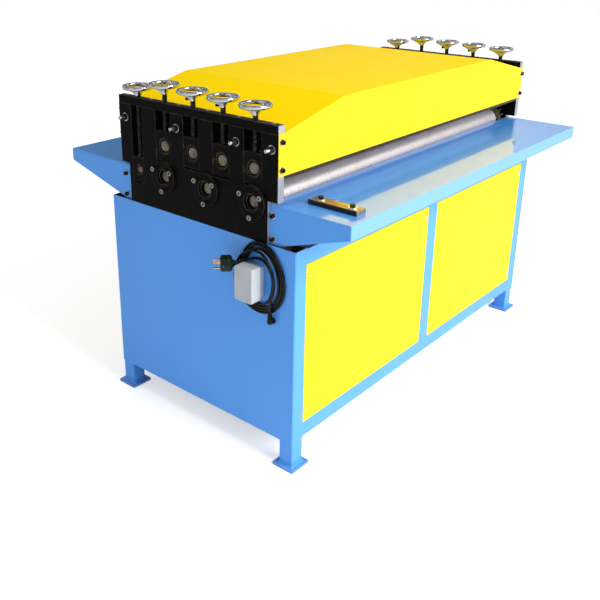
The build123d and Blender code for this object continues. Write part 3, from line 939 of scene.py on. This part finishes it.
@dataclass
class ShaftEnds:
    """Turned shaft ends and the bearing rings round them, seen in the plates' bores."""

    stub_face: float = 742.0
    stub_radius: float = 16.6
    stub_height: float = 2.6
    stub_bevel: float = 1.2
    groove_depth: float = 0.8
    exit_stub_radius: float = 9.6
    ring_radii: tuple[float, float] = (20.5, 25.7)
    exit_ring_radii: tuple[float, float] = (12.0, 17.7)
    ring_width: float = 6.0
    block_ring_start: float = 740.0
    flange_ring_start: float = 746.0
    upper_height: float = 913.0

    def end(self, radius: float) -> Shape:
        """A shaft's end face with its centre hole and a turned groove.

        Args:
            radius: The shaft's radius.

        Returns:
            The end, drawn with its seat at the origin.
        """
        top = self.stub_height
        groove = top - self.groove_depth
        return lathe([(0.0, 0.5), (radius * 0.14, 0.5), (radius * 0.26, top), (radius * 0.60, top),
                      (radius * 0.63, groove), (radius * 0.72, groove), (radius * 0.75, top),
                      (radius - self.stub_bevel, top), (radius, top - self.stub_bevel), (radius, 0.0),
                      (0.0, 0.0)], 32)

    def ring(self, inner: float, outer: float) -> Shape:
        """A bearing's outer ring.

        Args:
            inner: Inner radius.
            outer: Outer radius.

        Returns:
            The ring, drawn with its inner face at the origin.
        """
        wide = self.ring_width
        return lathe([(outer, 0.0), (outer, wide - 0.8), (outer - 0.8, wide), (inner + 1.0, wide),
                      (inner, wide - 1.0), (inner, 0.0)], 40, True)

    def pair(self, name: str, finish: Finish, body: str, part: Shape, seat: Point) -> None:
        """Put a part at both ends of a shaft.

        Args:
            name: The piece's name.
            finish: Its finish.
            body: The body it moves with.
            part: The part.
            seat: Its distance from the machine's middle, its place on Y and its height.
        """
        start, place, height = seat
        scatter(name, finish, body, part,
                [((side.value * start, place, height), (side.value, 0, 0)) for side in Side])

    def build(self) -> None:
        """Make the ends and rings of every shaft; the last upper place is the exit roller's."""
        end = self.end(self.stub_radius)
        ring = self.ring(*self.ring_radii)
        uppers = [(f"upper_roller_{number}", end, ring, self.upper_height) for number in range(1, 5)]
        small_ring = self.ring(*self.exit_ring_radii)
        uppers.append(("exit_roller", self.end(self.exit_stub_radius), small_ring, LOWER_HEIGHT))
        for number, (place, (roller, face, race, height)) in enumerate(zip(UPPER_PLACES, uppers), 1):
            self.pair(f"shaft_ends_{number}", END_STEEL, roller, face, (self.stub_face, place, height))
            seat = (self.block_ring_start, place, height)
            self.pair(f"block_rings_{number}", RING_STEEL, f"bearing_blocks_{number}", race, seat)
        for row, place in zip(LOWER_ROWS, LOWER_PLACES):
            seat = (self.stub_face, place, LOWER_HEIGHT)
            self.pair(f"lower_shaft_ends_{row}", END_STEEL, f"lower_roller_{row}", end, seat)
            seat = (self.flange_ring_start, place, LOWER_HEIGHT)
            self.pair(f"flange_rings_{row}", RING_STEEL, BASE, ring, seat)


@dataclass
class HandWheels:
    """Dished chrome wheels, each on a black screw spindle."""

    heights: tuple[float, ...] = (1086.94, 1091.08, 1092.92, 1097.06, 1076.36)
    spindle_feet: tuple[float, ...] = (946.3, 946.3, 946.3, 946.3, 845.3)
    rim_outer: float = 47.5
    rim_inner: float = 35.0
    rim_half: float = 6.4
    hub_top: float = -11.0
    hub_foot: float = -27.0
    hub_radius: float = 13.0
    nut_across: float = 13.0
    spokes: int = 3
    spoke_radii: tuple[float, float] = (5.6, 4.0)
    spoke_flat: tuple[float, float] = (0.78, 1.15)
    wheel_turn: float = 23.0
    spindle_sink: float = 11.0
    spindle_radius: float = 8.0
    thread_depth: float = 1.6
    thread_pitch: float = 4.0
    thread_steps: int = 18
    knobbed: tuple[int, ...] = (2, 3)
    knob_way: Point = (-0.45, 0.9, 0.0)
    knob_out: float = 9.0
    knob_rise: float = 5.0

    def wheel(self) -> Shape:
        """Rim, hub and spokes about the rim's middle.

        Returns:
            The wheel, level.
        """
        made = Shape()
        outer = self.rim_outer
        inner = self.rim_inner
        half = self.rim_half
        made.turned([(outer, half * 0.35), (outer - 0.8, half * 0.75), (outer - 3.2, half),
                     (inner + 3.6, half), (inner + 1.0, half * 0.72), (inner, half * 0.1),
                     (inner + 0.8, -half * 0.6), (inner + 3.4, -half), (outer - 5.6, -half),
                     (outer - 2.2, -half * 0.7), (outer - 0.6, -half * 0.2)], 56, True)
        hub = self.hub_radius
        top = self.hub_top
        foot = self.hub_foot
        made.turned([(0.0, top), (hub - 3.0, top), (hub - 0.6, top - 1.2), (hub, top - 4.0),
                     (hub - 0.8, top - 8.0), (hub - 2.4, top - 11.0), (hub - 2.6, foot + 1.0),
                     (hub - 3.4, foot), (0.0, foot)], 32)
        start = Vector((hub - 4.0, 0.0, top - 5.5))
        end = Vector((inner + 4.0, 0.0, -1.5))
        run = end - start
        wide, narrow = self.spoke_radii
        bar = Matrix.Translation((start + end) / 2) @ turn_to(run)
        bar @= Matrix.Diagonal((*self.spoke_flat, 1.0, 1.0))
        for index in range(self.spokes):
            turn = Matrix.Rotation(math.tau * (index + 0.5) / self.spokes, 4, "Z")
            bmesh.ops.create_cone(made.mesh, cap_ends=True, segments=16, radius1=wide, radius2=narrow,
                                  depth=run.length, matrix=turn @ bar)
        return made

    def spindle(self, length: float) -> Shape:
        """A screw hanging down from the hub, closed at both ends.

        Args:
            length: From the hub's middle to the foot.

        Returns:
            The spindle with its top at the origin.
        """
        made = Shape()
        root = self.spindle_radius - self.thread_depth
        crest = self.spindle_radius
        pitch = self.thread_pitch
        tooth = [(root, 0.0), (root, 0.22 * pitch), (crest, 0.40 * pitch), (crest, 0.82 * pitch),
                 (root, pitch)]
        corners = [made.mesh.verts.new((radius, 0.0, -length + height)) for radius, height in tooth]
        edges = [made.mesh.edges.new(pair) for pair in zip(corners, corners[1:])]
        turns = math.floor(length / pitch) - 1
        bmesh.ops.spin(made.mesh, geom=corners + edges, cent=(0, 0, 0), axis=UP, angle=math.tau * turns,
                       steps=self.thread_steps * turns, dvec=(0, 0, pitch / self.thread_steps))
        bmesh.ops.remove_doubles(made.mesh, verts=made.mesh.verts, dist=0.01)
        rims = [edge for edge in made.mesh.edges if edge.is_boundary]
        bmesh.ops.holes_fill(made.mesh, edges=rims, sides=0)
        return made

    def knob(self) -> Shape:
        """A small clamping screw that stands out of the hub."""
        return lathe([(0.0, 13.0), (3.2, 13.0), (4.2, 12.0), (4.2, 6.5), (3.4, 5.5), (2.4, 5.0),
                      (2.4, 0.0), (0.0, 0.0)], 16)

    def top_nut(self) -> Shape:
        """The nut and spindle end in the wheel's dish.

        Returns:
            Both, about the rim's middle.
        """
        made = hexagon(self.nut_across, self.hub_top - 0.5, self.hub_top + 4.0, 0.8)
        end = self.hub_top + 6.0
        made.turned([(0.0, end), (3.0, end), (4.0, end - 1.0), (4.0, end - 3.0), (0.0, end - 3.0)], 16)
        return made

    def build(self) -> None:
        """Make the wheels, spindles and knobs of both ends."""
        for side in Side:
            across = side.value * PLATE_MIDDLE
            shafts = zip(UPPER_PLACES, self.heights, self.spindle_feet)
            for number, (place, height, foot) in enumerate(shafts, 1):
                body = f"handwheel_{side.word}_{number}"
                middle = (across, place, height)
                turn = self.wheel_turn * number * side.value
                rim = Shape()
                rim.join(self.wheel(), middle)
                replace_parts(rim.piece(f"wheel_{side.word}_{number}", CHROME, body, 40.0), body)
                screw = Shape()
                hub = height + self.hub_foot
                top = hub + self.spindle_sink
                screw.join(self.spindle(top - foot), (across, place, top), UP, turn)
                screw.join(self.top_nut(), middle, UP, turn)
                if number in self.knobbed:
                    out = Vector(self.knob_way) * self.knob_out
                    start = out + Vector((across, place, hub + self.knob_rise))
                    screw.join(self.knob(), start, self.knob_way)
                screw.piece(f"spindle_{side.word}_{number}", OILED, body, 50.0)


@dataclass
class SheetWork:
    """Fasteners and welds of the base, the hood, the tables and the guide bar."""

    hood_faces: tuple[float, float] = (-323.5, 329.5)
    hood_bolt_heights: tuple[float, ...] = (1001.0, 924.0)
    hem_half: float = 724.0
    hem_span: tuple[float, float] = (895.0, 918.0)
    hem_faces: tuple[float, float] = (-321.5, 327.5)
    hem_depth: float = 9.0
    hem_fold: float = 2.5
    cheek_face: float = 740.0
    cheek_bolt_places: tuple[float, float] = (-297.0, 322.0)
    cheek_bolt_heights: tuple[float, ...] = (790.0, 721.0)
    pan_face: float = 385.0
    pan_span: tuple[float, float] = (28.5, 697.5)
    pan_heights: tuple[float, float] = (143.5, 655.5)
    pan_inset: tuple[float, float] = (15.0, 37.0)
    guide_x: float = -651.0
    guide_places: tuple[float, ...] = (-497.0, -392.0)
    guide_turns: tuple[float, ...] = (20.0, 45.0)
    guide_top: float = 837.0
    leg_place: tuple[float, float] = (723.0, 361.0)
    leg_half: float = 25.0
    foot_top: float = 8.0
    weld: float = 5.0
    weld_round: float = 2.0
    weld_gap: float = 0.4
    rail_middles: tuple[float, float] = (118.0, 681.0)
    post_half: float = 28.0
    joint_half: float = 4.6
    joint_depth: float = 6.0
    joint_sink: float = 0.15

    def washered(self, name: str, seats: list[Seat]) -> None:
        """Socket-head screws on washers.

        Args:
            name: First word of the pieces' names.
            seats: Place and axis of each screw.
        """
        scatter(f"{name}_screws", OILED, BASE, CapScrew(14.0, 9.0).shape(), seats)
        ring = HexBolt(washer=20.0, washer_height=1.6).ring()
        scatter(f"{name}_washers", ZINC, BASE, ring, seats)

    def hood_bolts(self) -> None:
        """Two bolts at each end of the hood's front and rear sheets."""
        self.washered("hood", [((side.value * PLATE_MIDDLE, face, height), (0, facing.value, 0))
                               for facing, face in zip(Facing, self.hood_faces)
                               for side in Side for height in self.hood_bolt_heights])

    def hood_hems(self) -> None:
        """Folded hems that stiffen the lower edges of the hood's sheets, coloured dark brown as painted
        shade.
        """
        made = Shape()
        low, high = self.hem_span
        for facing, face in zip(Facing, self.hem_faces):
            made.block((0.0, face - facing.value * self.hem_depth / 2, (low + high) / 2),
                       (self.hem_half * 2, self.hem_depth, high - low))
        made.soften(made.mesh.edges, self.hem_fold, 3)
        # Dark brown painted shade, not the sheet's yellow.
        made.piece("hood_hems", HEM_PAINTED_SHADE, BASE)

    def cheek_bolts(self) -> None:
        """Two bolts in the heel of each table cheek."""
        self.washered("cheek", [((side.value * self.cheek_face, place, height), (side.value, 0, 0))
                                for side in Side for place in self.cheek_bolt_places
                                for height in self.cheek_bolt_heights])

    def pan_screws(self) -> None:
        """A screw near each corner of the yellow pans."""
        beside, above = self.pan_inset
        places = (self.pan_span[0] + beside, self.pan_span[1] - beside)
        heights = (self.pan_heights[0] + above, self.pan_heights[1] - above)
        scatter("pan_screws", ZINC, BASE, PanScrew().shape(),
                [((side.value * place, facing.value * self.pan_face, height), (0, facing.value, 0))
                 for facing in Facing for side in Side for place in places for height in heights])

    def guide_bolts(self) -> None:
        """Bolts and wide washers on the guide bar."""
        bolt = HexBolt()
        heads = Shape()
        rings = Shape()
        for place, turn in zip(self.guide_places, self.guide_turns):
            heads.join(bolt.head(), (self.guide_x, place, self.guide_top), UP, turn)
            rings.join(bolt.ring(), (self.guide_x, place, self.guide_top))
        heads.piece("guide_bolts", OILED, BASE, 25.0)
        rings.piece("guide_washers", WASHER, BASE)

    def foot_welds(self) -> None:
        """A painted weld bead round the foot of each leg."""
        made = Shape()
        low = (self.leg_half + self.weld) * math.sqrt(2)
        high = (self.leg_half + self.weld_gap) * math.sqrt(2)
        quarter = Matrix.Rotation(math.pi / 4, 4, "Z")
        for side in Side:
            for facing in Facing:
                place = (side.value * self.leg_place[0], facing.value * self.leg_place[1],
                         self.foot_top + self.weld / 2)
                bmesh.ops.create_cone(made.mesh, cap_ends=True, segments=4, radius1=low, radius2=high,
                                      depth=self.weld, matrix=Matrix.Translation(place) @ quarter)
        made.soften(made.mesh.edges, self.weld_round)
        made.piece("foot_welds", BLUE, BASE)

    def frame_welds(self) -> None:
        """Ground weld metal in the joints between rails, legs and posts."""
        made = Shape()
        inner = self.leg_place[0] - self.leg_half
        low, high = self.rail_middles
        joints = [(side.value * inner, height, self.joint_half, self.leg_half - 1.0)
                  for side in Side for height in self.rail_middles]
        joints += [(0.0, height, self.post_half - 1.0, self.joint_half)
                   for height in (low + self.leg_half, high - self.leg_half)]
        for facing in Facing:
            face = facing.value * (self.leg_place[1] + self.leg_half - self.joint_sink - self.joint_depth / 2)
            for across, height, half_width, half_height in joints:
                made.block((across, face, height), (half_width * 2, self.joint_depth, half_height * 2))
        made.soften(made.mesh.edges, self.weld_gap)
        made.piece("frame_welds", BLUE, BASE)

    def build(self) -> None:
        """Make all the sheet work's fasteners and welds."""
        self.hood_bolts()
        self.hood_hems()
        self.cheek_bolts()
        self.pan_screws()
        self.guide_bolts()
        self.foot_welds()
        self.frame_welds()


@dataclass
class SwitchBox:
    """The grey box's moulded lid, with a sunk panel in its face."""

    middle: Point = (-791.5, -247.0, 590.0)
    size: Point = (37.0, 68.0, 105.0)
    corner: float = 7.0
    rim: float = 3.0
    panel_inset: float = 4.5
    panel_depth: float = 0.9
    panel_edge: float = 0.5

    def face(self, made: Shape) -> bmesh.types.BMFace:
        """The face that is furthest out."""
        return min(made.mesh.faces, key=lambda face: face.calc_center_median().x)

    def build(self) -> None:
        """Make the lid."""
        made = Shape()
        made.block(self.middle, self.size)
        corners = [edge for edge in made.mesh.edges if abs(edge.verts[0].co.x - edge.verts[1].co.x) > 1.0]
        made.soften(corners, self.corner, 6)
        made.soften(self.face(made).edges, self.rim, 4)
        front = self.face(made)
        bmesh.ops.inset_region(made.mesh, faces=[front], thickness=self.panel_inset, depth=0.0)
        bmesh.ops.inset_region(made.mesh, faces=[front], thickness=self.panel_edge, depth=-self.panel_depth)
        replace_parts(made.piece("switch_box_cover", BOX_GREY, BASE, 40.0), "switch_box_lid")


@dataclass
class MainsLead:
    """The lead from its gland, up into a loose coil round the switch box, and out to its plug."""

    diameter: float = 8.0
    near_layer: float = -754.6
    far_layer: float = -766.0
    middle: tuple[float, float] = (-261.0, 590.0)
    fronts: tuple[float, ...] = (-324.0, -353.0, -344.5, -333.0, -311.0)
    tops: tuple[float, ...] = (684.0, 708.0, 699.5, 688.0, 658.0)
    rears: tuple[float, ...] = (-175.0, -183.2, -191.4, -199.6)
    bottoms: tuple[float, ...] = (491.0, 499.2, 507.4, 515.6)
    quarter_points: int = 5
    start: tuple[Point, ...] = ((-764.0, -309.0, 508.0), (-764.5, -309.0, 522.0), (-766.0, -313.0, 545.0),
                                (-766.0, -320.5, 568.0))
    end: tuple[Point, ...] = ((-755.0, -261.0, 658.0), (-757.0, -247.0, 656.0), (-760.0, -234.5, 652.5),
                              (-763.5, -223.0, 647.5), (-767.5, -212.5, 641.5), (-771.5, -204.5, 637.0),
                              (-775.5, -200.0, 634.5), (-779.0, -196.5, 634.0))
    round_steps: int = 4
    run_steps: int = 6
    plug_way: Point = (-0.7071, 0.7071, 0.0)
    plug_flats: float = 48.0
    plug_span: tuple[float, float] = (18.0, 46.0)
    plug_seam: float = 31.0
    plug_screws: tuple[tuple[float, Point], ...] = ((24.0, (-0.5, -0.5, 0.7071)),
                                                    (39.0, (-0.7071, -0.7071, 0.0)))
    screw_sink: float = 0.2
    gland_place: Point = (-764.0, -309.0, 478.0)
    gland_nut: float = 19.0
    gland_ball: float = 9.0
    gland_ribs: int = 5
    rib_start: float = 9.0
    rib_pitch: float = 4.2
    rib_radius: float = 7.4
    rib_taper: float = 0.42
    rib_depth: float = 1.3

    def layer(self, turn: int, quarter: int, share: float) -> float:
        """How far out from the end sheet the lead lies.

        Args:
            turn: Number of the turn, from 0.
            quarter: 0 rising to the top, 1 to the rear, 2 to the bottom, 3 to the front.
            share: Way through the quarter, from 0 to 1.

        Returns:
            The place on X in millimetres.
        """
        if turn > 0 or quarter > 2:
            return self.near_layer
        ease = share * share * (3.0 - 2.0 * share) if quarter == 2 else 0.0
        return self.far_layer + ease * (self.near_layer - self.far_layer)

    def turns(self) -> list[Point]:
        """Control points of the loose turns, a quarter ellipse at a time.

        Returns:
            The points in their order.
        """
        across, up = self.middle
        points: list[Point] = []
        for turn in range(len(self.fronts)):
            last = turn == len(self.fronts) - 1
            reach = [self.fronts[turn], self.tops[turn]]
            if not last:
                reach += [self.rears[turn], self.bottoms[turn], self.fronts[turn + 1]]
            for quarter in range(1 if last else 4):
                for step in range(self.quarter_points):
                    share = step / self.quarter_points
                    angle = share * math.pi / 2
                    leave, arrive = math.cos(angle), math.sin(angle)
                    if quarter % 2 == 0:
                        y = across + leave * (reach[quarter] - across)
                        z = up + arrive * (reach[quarter + 1] - up)
                    else:
                        y = across + arrive * (reach[quarter + 1] - across)
                        z = up + leave * (reach[quarter] - up)
                    points.append((self.layer(turn, quarter, share), y, z))
        return points

    def plug(self) -> list[bpy.types.Object]:
        """The plug with its ribbed boot, seam, rim and screws.

        Returns:
            The plug's pieces.
        """
        low, high = self.plug_span
        radius = self.plug_flats / 2
        body = lathe([(0.0, -10.0), (6.2, -10.0), (7.0, -9.0), (7.0, -6.5), (6.0, -6.0), (6.0, -4.5),
                     (7.6, -4.0), (7.6, -1.5), (6.6, -1.0), (6.6, 0.5), (8.4, 1.0), (8.4, 3.5), (7.4, 4.0),
                     (7.4, 5.5), (9.8, 6.0), (10.4, 11.0), (14.0, 12.0), (radius - 3.0, 15.0),
                     (radius - 1.0, low), (radius - 2.0, low + 1.0), (radius - 2.0, high - 1.0),
                     (0.0, high - 1.0)], 32)
        body.prism(8, self.plug_flats, low, self.plug_seam - 0.6, 0.8)
        body.prism(8, self.plug_flats, self.plug_seam + 0.6, high, 2.0)
        body.turned([(radius - 4.0, high - 1.0), (radius - 4.0, high + 1.2), (radius - 5.0, high + 1.6),
                     (radius - 6.5, high + 1.6), (radius - 7.0, high - 1.0)], 32, True)
        start = Vector(self.end[-1])
        placed = Shape()
        placed.join(body, start, self.plug_way)
        dressed = placed.piece("plug_dressed", PLUG_GREEN, BASE, 30.0)
        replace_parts(dressed, "plug")
        screws = Shape()
        screw = PanScrew(6.0, 1.8).shape()
        way = Vector(self.plug_way)
        for along, flat in self.plug_screws:
            seat = start + way * along + Vector(flat) * (radius - self.screw_sink)
            screws.join(screw, seat, flat)
        return [dressed, screws.piece("plug_screws", ZINC, BASE)]

    def gland(self) -> None:
        """The elbow gland: a nut on the end sheet, a round elbow and a ribbed neck."""
        made = Shape()
        x, y, z = self.gland_place
        nut = hexagon(self.gland_nut, 0.0, 4.5, 0.8)
        nut.turned([(0.0, 9.0), (7.5, 9.0), (8.0, 8.0), (8.0, 4.0), (0.0, 4.0)], 24)
        made.join(nut, (-PLATE_FACE, y, z), (-1, 0, 0))
        bmesh.ops.create_uvsphere(made.mesh, u_segments=24, v_segments=14, radius=self.gland_ball,
                                  matrix=Matrix.Translation((x, y, z)))
        ribs: Profile = [(0.0, 2.0), (7.6, 2.0), (7.6, self.rib_start)]
        for index in range(self.gland_ribs):
            foot = self.rib_start + self.rib_pitch * index
            wide = self.rib_radius - self.rib_taper * index
            groove = wide - self.rib_depth
            ribs += [(groove, foot + 0.3), (groove, foot + 1.5), (wide, foot + 1.8), (wide, foot + 4.0)]
        ribs += [(4.9, 30.0), (0.0, 30.0)]
        made.join(lathe(ribs, 24), (x, y, z))
        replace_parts(made.piece("gland_dressed", RUBBER, BASE), "cord_gland")

    def build(self) -> None:
        self.gland()
        pieces = self.plug()
        route = [*self.start, *self.turns(), *self.end]
        curve = bpy.data.curves.new("mains_lead", "CURVE")
        curve.dimensions = "3D"
        curve.bevel_depth = self.diameter / 2 * MM
        curve.bevel_resolution = self.round_steps
        curve.resolution_u = self.run_steps
        curve.use_fill_caps = True
        spline = curve.splines.new("NURBS")
        spline.points.add(len(route) - 1)
        placed = [(Vector(point) + DRAWING_SHIFT) * MM for point in route]
        for point, place in zip(spline.points, placed):
            point.co = (*place, 1.0)
        spline.order_u = 3
        spline.use_endpoint_u = True
        lead = show("mains_lead", curve)
        curve.materials.append(RUBBER.material())
        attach(lead, BASE)
        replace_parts(lead, "cord_lead", "cord_coil")


@dataclass
class CadDress:
    """Finishes and softened edges of the nodes that show as they come."""

    sheet_edge: float = 0.8
    plate_edge: float = 1.0
    tube_edge: float = 0.25
    merge: float = 0.01
    flat_angle: float = 0.5
    crisp_angle: float = 40.0

    def dress(self, node: str, finish: Finish, edge: float = 0.0) -> None:
        """Give a node its finish and a softened edge.

        Args:
            node: The node's name.
            finish: Its finish.
            edge: Width of the softened edge in millimetres, or 0 for none.
        """
        shown = frame["nodes"][node]
        shown.material_slots[0].material = finish.material()
        if edge:
            weld = shown.modifiers.new("weld", "WELD")
            weld.merge_threshold = self.merge * MM
            flat = shown.modifiers.new("flat", "DECIMATE")
            flat.decimate_type = "DISSOLVE"
            flat.angle_limit = math.radians(self.flat_angle)
            soft = shown.modifiers.new("soft", "BEVEL")
            soft.width = edge * MM
            soft.segments = 2
            soft.limit_method = "ANGLE"
            soft.angle_limit = math.radians(self.crisp_angle)
            soft.harden_normals = True
        LOG.info("%s: %s", node, finish.name)

    def build(self) -> None:
        """Dress every node that nothing replaces."""
        for node in ("legs", "top_rails"):
            self.dress(node, RAIL_BLUE, self.tube_edge)
        for node in ("bottom_rails", "mid_posts"):
            self.dress(node, BLUE, self.tube_edge)
        self.dress("foot_plates", FOOT_BLUE, self.sheet_edge)
        for node in ("left_end_panel", "right_end_panel"):
            self.dress(node, BLUE, self.sheet_edge)
        for row in ("front", "rear"):
            self.dress(f"{row}_table", TABLE_BLUE if row == "front" else BLUE, self.sheet_edge)
            self.dress(f"{row}_table_cheeks", BLUE, self.sheet_edge)
            self.dress(f"hood_{row}", FEED_YELLOW if row == "front" else EXIT_YELLOW, self.sheet_edge)
            for side in Side:
                self.dress(f"{row}_panel_{side.word}", YELLOW, self.sheet_edge)
        self.dress("hood_roof", ROOF_YELLOW)
        for side in Side:
            self.dress(f"side_plate_{side.word}", BLACK, self.plate_edge)
            self.dress(f"top_bar_{side.word}", BLACK, self.plate_edge)
        self.dress("bearing_flanges", FLANGE_BLACK, self.plate_edge)
        for number in range(1, 6):
            self.dress(f"bearing_blocks_{number}", BLACK, self.plate_edge)
        rollers = ["exit_roller", *(f"upper_roller_{number}" for number in range(1, 5))]
        for node in (*rollers, *(f"lower_roller_{row}" for row in LOWER_ROWS)):
            self.dress(node, STEEL)
        for level in ("lower", "upper"):
            for row in ("front", "rear"):
                self.dress(f"{level}_gear_{row}", IRON, self.tube_edge)
        self.dress("table_guide", GUIDE)
        self.dress("switch_box", BOX_GREY, self.plate_edge)
        self.dress("plug_pins", BRASS, self.tube_edge)


@dataclass(frozen=True)
class PhotoCamera:
    """The photograph's camera, fitted to the machine's corners."""

    place: Point = (-2.29229, -1.64511, 1.51898)
    yaw: float = 0.8548
    pitch: float = 0.3544
    roll: float = -0.0046
    focal: float = 792.8
    image: float = 600.0
    axis_pixel: tuple[float, float] = (262.5, 225.8)
    sensor: float = 36.0

    def build(self) -> None:
        """Make the camera and set it as the scene's."""
        camera = bpy.data.cameras.new("photo_camera")
        camera.sensor_width = self.sensor
        camera.lens = self.focal / self.image * self.sensor
        camera.shift_x = (self.image / 2 - self.axis_pixel[0]) / self.image
        camera.shift_y = (self.axis_pixel[1] - self.image / 2) / self.image
        ahead = Vector((math.sin(self.yaw) * math.cos(self.pitch), math.cos(self.yaw) * math.cos(self.pitch),
                        -math.sin(self.pitch)))
        right = Vector((math.cos(self.yaw), -math.sin(self.yaw), 0.0))
        up = right.cross(ahead)
        turn = Matrix((right, up, -ahead)).transposed() @ Matrix.Rotation(-self.roll, 3, "Z")
        holder = show("photo_camera", camera)
        holder.matrix_world = Matrix.Translation(Vector(self.place)) @ turn.to_4x4()
        bpy.context.scene.camera = holder


@dataclass(frozen=True)
class Studio:
    """A pale floor under a soft sky and one large lamp on the feed side."""

    floor_half: float = 14.0
    floor_colour: Colour = (0.93, 0.93, 0.93)
    sky: float = 0.55
    cloud_scale: float = 2.6
    cloud_span: tuple[float, float] = (0.40, 0.60)
    mirrored_low: float = 0.05
    lamp_place: Point = (0.1, -4.8, 3.4)
    lamp_target: Point = (0.0, -0.2, 0.6)
    lamp_size: float = 3.2
    lamp_watts: float = 360.0
    floor_glow: float = 0.5

    def floor(self) -> None:
        """The floor, which catches the machine's shadow."""
        mesh = bmesh.new()
        bmesh.ops.create_grid(mesh, x_segments=1, y_segments=1, size=self.floor_half)
        data = bpy.data.meshes.new("floor")
        mesh.to_mesh(data)
        mesh.free()
        shader = Shader("floor")
        seen = shader.node("LightPath").outputs["Is Camera Ray"]
        shader.set(Base_Color=self.floor_colour, Roughness=0.9, Specular_IOR_Level=0.0)
        glow = shader.math("MULTIPLY", seen, self.floor_glow)
        shader.set(Emission_Color=WHITE, Emission_Strength=glow)
        data.materials.append(shader.material)
        show("floor", data)

    def light(self) -> None:
        """A white sky behind the machine, a dimmer one that lights it, and the lamp."""
        world = bpy.data.worlds.new("studio")
        world.use_nodes = True
        bpy.context.scene.world = world
        tree = world.node_tree
        ray = add_node(tree, "LightPath").outputs
        way = add_node(tree, "TexCoord").outputs["Generated"]
        clouds = add_node(tree, "TexNoise", Vector=way, Scale=self.cloud_scale, Detail=1.0).outputs["Fac"]
        low, high = self.cloud_span
        mirrored = add_node(tree, "MapRange", Value=clouds, From_Min=low, From_Max=high,
                            To_Min=self.mirrored_low)
        level: object = self.sky
        for name, shown in (("Is Glossy Ray", mirrored.outputs["Result"]), ("Is Transmission Ray", 1.0),
                            ("Is Camera Ray", 1.0)):
            level = add_node(tree, "Mix", Factor=ray[name], A=level, B=shown).outputs["Result"]
        feed(tree.nodes["Background"].inputs["Strength"], level)
        feed(tree.nodes["Background"].inputs["Color"], WHITE)
        lamp = bpy.data.lights.new("softbox", "AREA")
        lamp.size = self.lamp_size
        lamp.energy = self.lamp_watts
        place = Vector(self.lamp_place)
        holder = show("softbox", lamp)
        holder.matrix_world = Matrix.Translation(place) @ turn_to(place - Vector(self.lamp_target))

    def build(self) -> None:
        """Make the floor and the light."""
        self.floor()
        self.light()
        bpy.context.scene.view_settings.view_transform = "Standard"


def clear_startup() -> None:
    """Remove what Blender's own startup scene may hold."""
    kept = {*frame["nodes"].values(), *frame["bodies"].values()}
    for other in [each for each in bpy.data.objects if each not in kept]:
        bpy.data.objects.remove(other)


def main() -> None:
    """Build the machine's looks in order."""
    logging.basicConfig(level=logging.INFO, format="%(message)s")
    clear_startup()
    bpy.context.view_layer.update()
    PhotoCamera().build()
    MainsLead().build()
    CadDress().build()
    SidePlates().build()
    ShaftEnds().build()
    HandWheels().build()
    SheetWork().build()
    SwitchBox().build()
    Studio().build()


if __name__ == "__main__":
    main()
